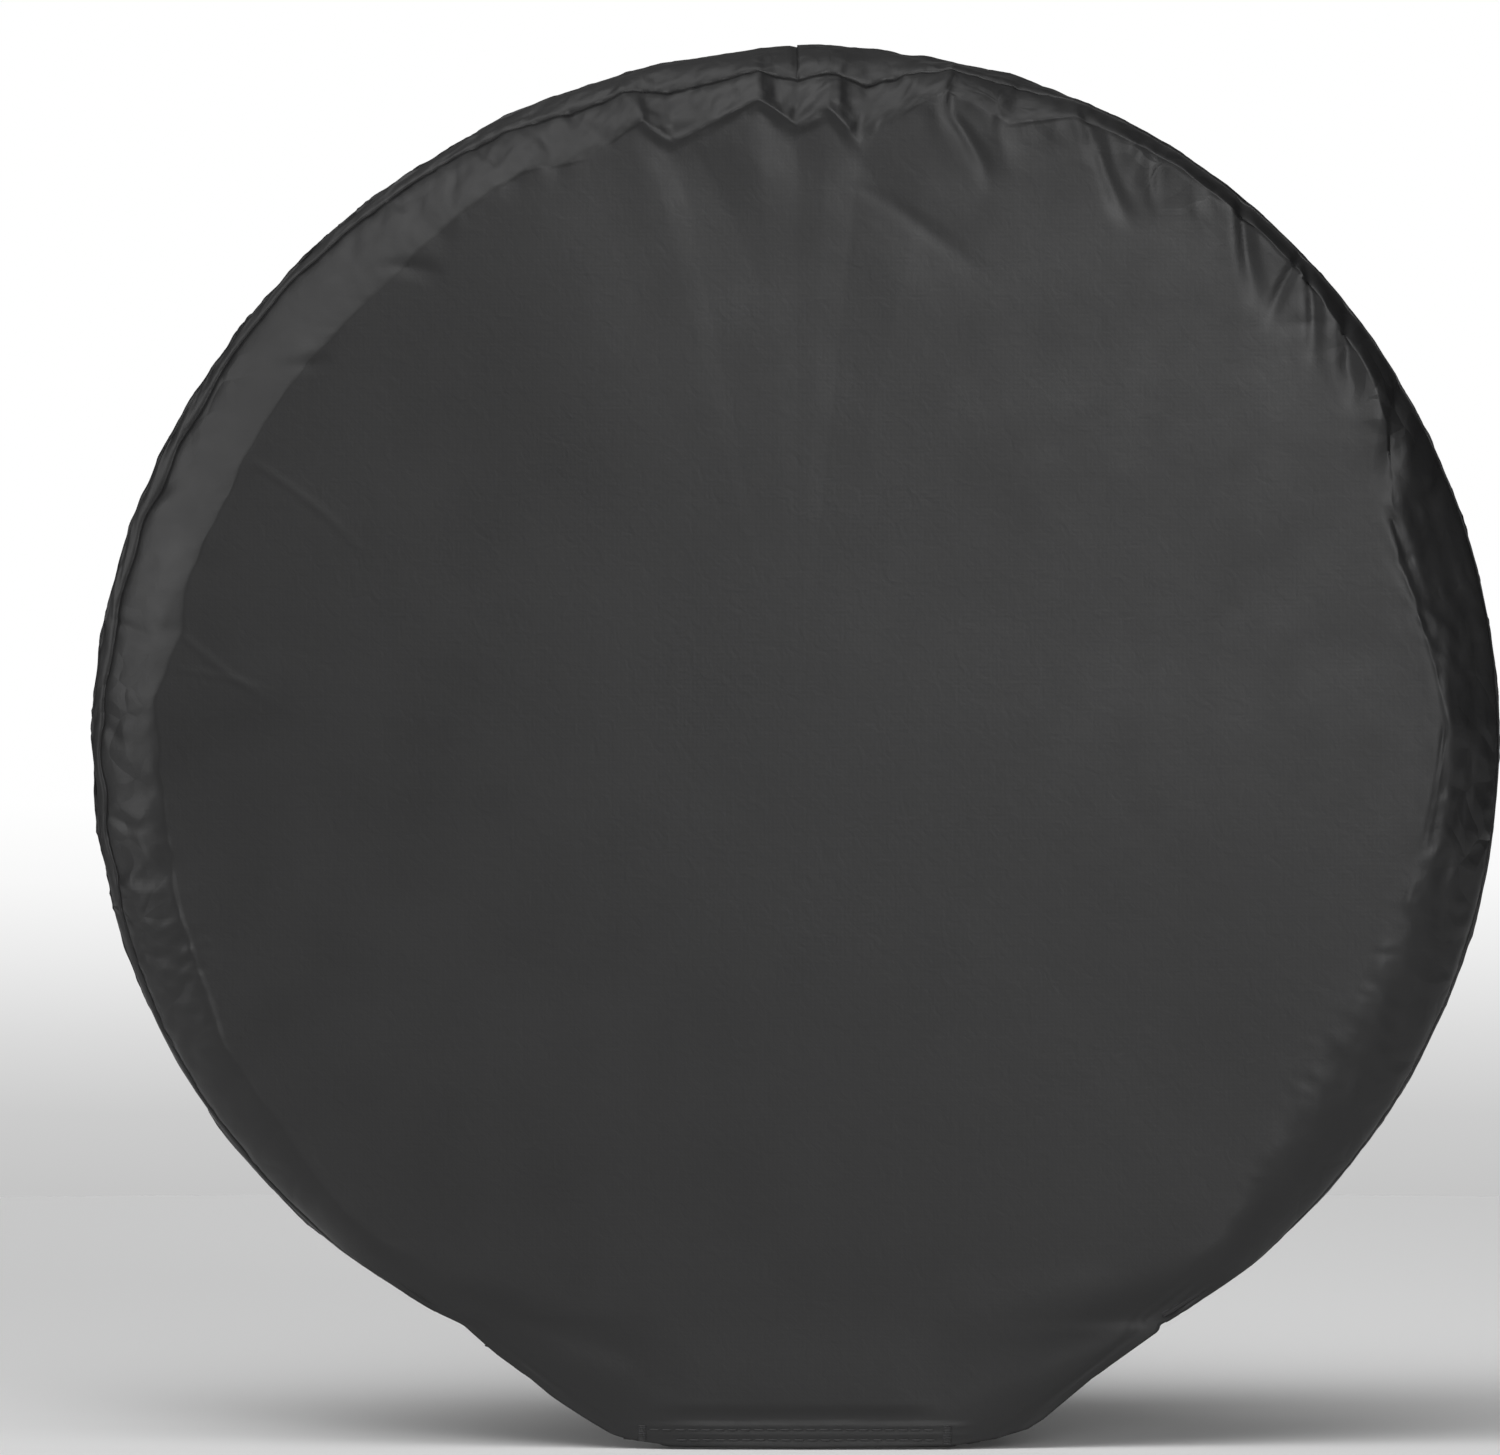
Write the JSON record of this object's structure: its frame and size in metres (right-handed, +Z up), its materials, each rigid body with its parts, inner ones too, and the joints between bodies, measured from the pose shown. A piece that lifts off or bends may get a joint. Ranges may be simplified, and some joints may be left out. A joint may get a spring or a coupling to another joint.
{
  "type": "spare tire cover",
  "caption": "Soft round cover for a spare or road wheel: flat front, side band over the tread, elastic rear hem and a hemmed bib at the foot.",
  "frame": {"origin": "on the wheel's axis, at the middle plane of the tyre that the cover is put on", "axes": "+Y is the wheel's axis, the way the tyre comes out of the cover, and the closed front looks along -Y; +Z is up, from the bib at the foot to the top; +X is to the right, seen from the front"},
  "size_m": [0.6869, 0.2689, 0.6981],
  "materials": {
    "cover_cloth": "coated black cloth, satin sheen, fine weave",
    "hem_cloth": "pressed hem of the same coated cloth",
    "sewing_thread": "matte polyester thread",
    "elastic": "braid-covered elastic, matte"
  },
  "bodies": {
    "root": {"front_panel": "cover_cloth", "side_band_left": "cover_cloth", "side_band_right": "cover_cloth", "front_seam_binding": "hem_cloth", "front_seam_thread": "sewing_thread", "band_join_tape": "hem_cloth", "band_join_threads": "sewing_thread", "band_end_hem_left": "hem_cloth", "band_end_hem_right": "hem_cloth"},
    "bib": {"bib_panel": "cover_cloth", "bib_bottom_hem": "hem_cloth", "bib_edge_hem_left": "hem_cloth", "bib_edge_hem_right": "hem_cloth", "bib_upper_stitches": "sewing_thread", "bib_lower_stitches": "sewing_thread", "bib_bar_tacks": "sewing_thread"},
    "gather_01": {"rear_gather_01": "cover_cloth", "hem_elastic_01": "elastic", "elastic_end_tack_right": "sewing_thread"},
    "gather_02": {"rear_gather_02": "cover_cloth", "hem_elastic_02": "elastic"},
    "gather_03": {"rear_gather_03": "cover_cloth", "hem_elastic_03": "elastic"},
    "gather_04": {"rear_gather_04": "cover_cloth", "hem_elastic_04": "elastic"},
    "gather_05": {"rear_gather_05": "cover_cloth", "hem_elastic_05": "elastic"},
    "gather_06": {"rear_gather_06": "cover_cloth", "hem_elastic_06": "elastic"},
    "gather_07": {"rear_gather_07": "cover_cloth", "hem_elastic_07": "elastic"},
    "gather_08": {"rear_gather_08": "cover_cloth", "hem_elastic_08": "elastic"},
    "gather_09": {"rear_gather_09": "cover_cloth", "hem_elastic_09": "elastic"},
    "gather_10": {"rear_gather_10": "cover_cloth", "hem_elastic_10": "elastic"},
    "gather_11": {"rear_gather_11": "cover_cloth", "hem_elastic_11": "elastic"},
    "gather_12": {"rear_gather_12": "cover_cloth", "hem_elastic_12": "elastic"},
    "gather_13": {"rear_gather_13": "cover_cloth", "hem_elastic_13": "elastic"},
    "gather_14": {"rear_gather_14": "cover_cloth", "hem_elastic_14": "elastic"},
    "gather_15": {"rear_gather_15": "cover_cloth", "hem_elastic_15": "elastic"},
    "gather_16": {"rear_gather_16": "cover_cloth", "hem_elastic_16": "elastic", "elastic_end_tack_left": "sewing_thread"}
  },
  "joints": [
    {"name": "bib_fold", "type": "hinge", "parent": "root", "child": "bib", "pos_m": [0, -0.10425, -0.28662], "axis": [-1, 0, 0], "range_deg": [0, 110]},
    {"name": "hem_open", "type": "hinge", "parent": "root", "child": "gather_01", "pos_m": [0.22676, 0.0456, -0.25434], "axis": [-0.7464, 0, -0.6655], "range_deg": [0, 45], "stiffness_Nm_per_rad": 0.05, "springref_deg": -28.65},
    {"name": "hem_open_02", "type": "hinge", "parent": "root", "child": "gather_02", "pos_m": [0.29556, 0.0456, -0.16957], "axis": [-0.4976, 0, -0.8674], "range_deg": [0, 45], "stiffness_Nm_per_rad": 0.05, "springref_deg": -28.65},
    {"name": "hem_open_03", "type": "hinge", "parent": "root", "child": "gather_03", "pos_m": [0.33402, 0.0456, -0.06739], "axis": [-0.1978, 0, -0.9802], "range_deg": [0, 45], "stiffness_Nm_per_rad": 0.05, "springref_deg": -28.65},
    {"name": "hem_open_04", "type": "hinge", "parent": "root", "child": "gather_04", "pos_m": [0.33819, 0.0456, 0.04171], "axis": [0.1224, 0, -0.9925], "range_deg": [0, 45], "stiffness_Nm_per_rad": 0.05, "springref_deg": -28.65},
    {"name": "hem_open_05", "type": "hinge", "parent": "root", "child": "gather_05", "pos_m": [0.30764, 0.0456, 0.14653], "axis": [0.43, 0, -0.9028], "range_deg": [0, 45], "stiffness_Nm_per_rad": 0.05, "springref_deg": -28.65},
    {"name": "hem_open_06", "type": "hinge", "parent": "root", "child": "gather_06", "pos_m": [0.2455, 0.0456, 0.2363], "axis": [0.6935, 0, -0.7205], "range_deg": [0, 45], "stiffness_Nm_per_rad": 0.05, "springref_deg": -28.65},
    {"name": "hem_open_07", "type": "hinge", "parent": "root", "child": "gather_07", "pos_m": [0.15817, 0.0456, 0.30182], "axis": [0.8857, 0, -0.4642], "range_deg": [0, 45], "stiffness_Nm_per_rad": 0.05, "springref_deg": -28.65},
    {"name": "hem_open_08", "type": "hinge", "parent": "root", "child": "gather_08", "pos_m": [0.05459, 0.0456, 0.33635], "axis": [0.9871, 0, -0.1602], "range_deg": [0, 45], "stiffness_Nm_per_rad": 0.05, "springref_deg": -28.65},
    {"name": "hem_open_09", "type": "hinge", "parent": "root", "child": "gather_09", "pos_m": [-0.05459, 0.0456, 0.33635], "axis": [0.9871, 0, 0.1602], "range_deg": [0, 45], "stiffness_Nm_per_rad": 0.05, "springref_deg": -28.65},
    {"name": "hem_open_10", "type": "hinge", "parent": "root", "child": "gather_10", "pos_m": [-0.15817, 0.0456, 0.30182], "axis": [0.8857, 0, 0.4642], "range_deg": [0, 45], "stiffness_Nm_per_rad": 0.05, "springref_deg": -28.65},
    {"name": "hem_open_11", "type": "hinge", "parent": "root", "child": "gather_11", "pos_m": [-0.2455, 0.0456, 0.2363], "axis": [0.6935, 0, 0.7205], "range_deg": [0, 45], "stiffness_Nm_per_rad": 0.05, "springref_deg": -28.65},
    {"name": "hem_open_12", "type": "hinge", "parent": "root", "child": "gather_12", "pos_m": [-0.30764, 0.0456, 0.14653], "axis": [0.43, 0, 0.9028], "range_deg": [0, 45], "stiffness_Nm_per_rad": 0.05, "springref_deg": -28.65},
    {"name": "hem_open_13", "type": "hinge", "parent": "root", "child": "gather_13", "pos_m": [-0.33819, 0.0456, 0.04171], "axis": [0.1224, 0, 0.9925], "range_deg": [0, 45], "stiffness_Nm_per_rad": 0.05, "springref_deg": -28.65},
    {"name": "hem_open_14", "type": "hinge", "parent": "root", "child": "gather_14", "pos_m": [-0.33402, 0.0456, -0.06739], "axis": [-0.1978, 0, 0.9802], "range_deg": [0, 45], "stiffness_Nm_per_rad": 0.05, "springref_deg": -28.65},
    {"name": "hem_open_15", "type": "hinge", "parent": "root", "child": "gather_15", "pos_m": [-0.29556, 0.0456, -0.16957], "axis": [-0.4976, 0, 0.8674], "range_deg": [0, 45], "stiffness_Nm_per_rad": 0.05, "springref_deg": -28.65},
    {"name": "hem_open_16", "type": "hinge", "parent": "root", "child": "gather_16", "pos_m": [-0.22676, 0.0456, -0.25434], "axis": [-0.7464, 0, 0.6655], "range_deg": [0, 45], "stiffness_Nm_per_rad": 0.05, "springref_deg": -28.65}
  ],
  "couplings": [
    {"joint": "hem_open_02", "follows": "hem_open", "ratio": 1},
    {"joint": "hem_open_03", "follows": "hem_open", "ratio": 1},
    {"joint": "hem_open_04", "follows": "hem_open", "ratio": 1},
    {"joint": "hem_open_05", "follows": "hem_open", "ratio": 1},
    {"joint": "hem_open_06", "follows": "hem_open", "ratio": 1},
    {"joint": "hem_open_07", "follows": "hem_open", "ratio": 1},
    {"joint": "hem_open_08", "follows": "hem_open", "ratio": 1},
    {"joint": "hem_open_09", "follows": "hem_open", "ratio": 1},
    {"joint": "hem_open_10", "follows": "hem_open", "ratio": 1},
    {"joint": "hem_open_11", "follows": "hem_open", "ratio": 1},
    {"joint": "hem_open_12", "follows": "hem_open", "ratio": 1},
    {"joint": "hem_open_13", "follows": "hem_open", "ratio": 1},
    {"joint": "hem_open_14", "follows": "hem_open", "ratio": 1},
    {"joint": "hem_open_15", "follows": "hem_open", "ratio": 1},
    {"joint": "hem_open_16", "follows": "hem_open", "ratio": 1}
  ]
}
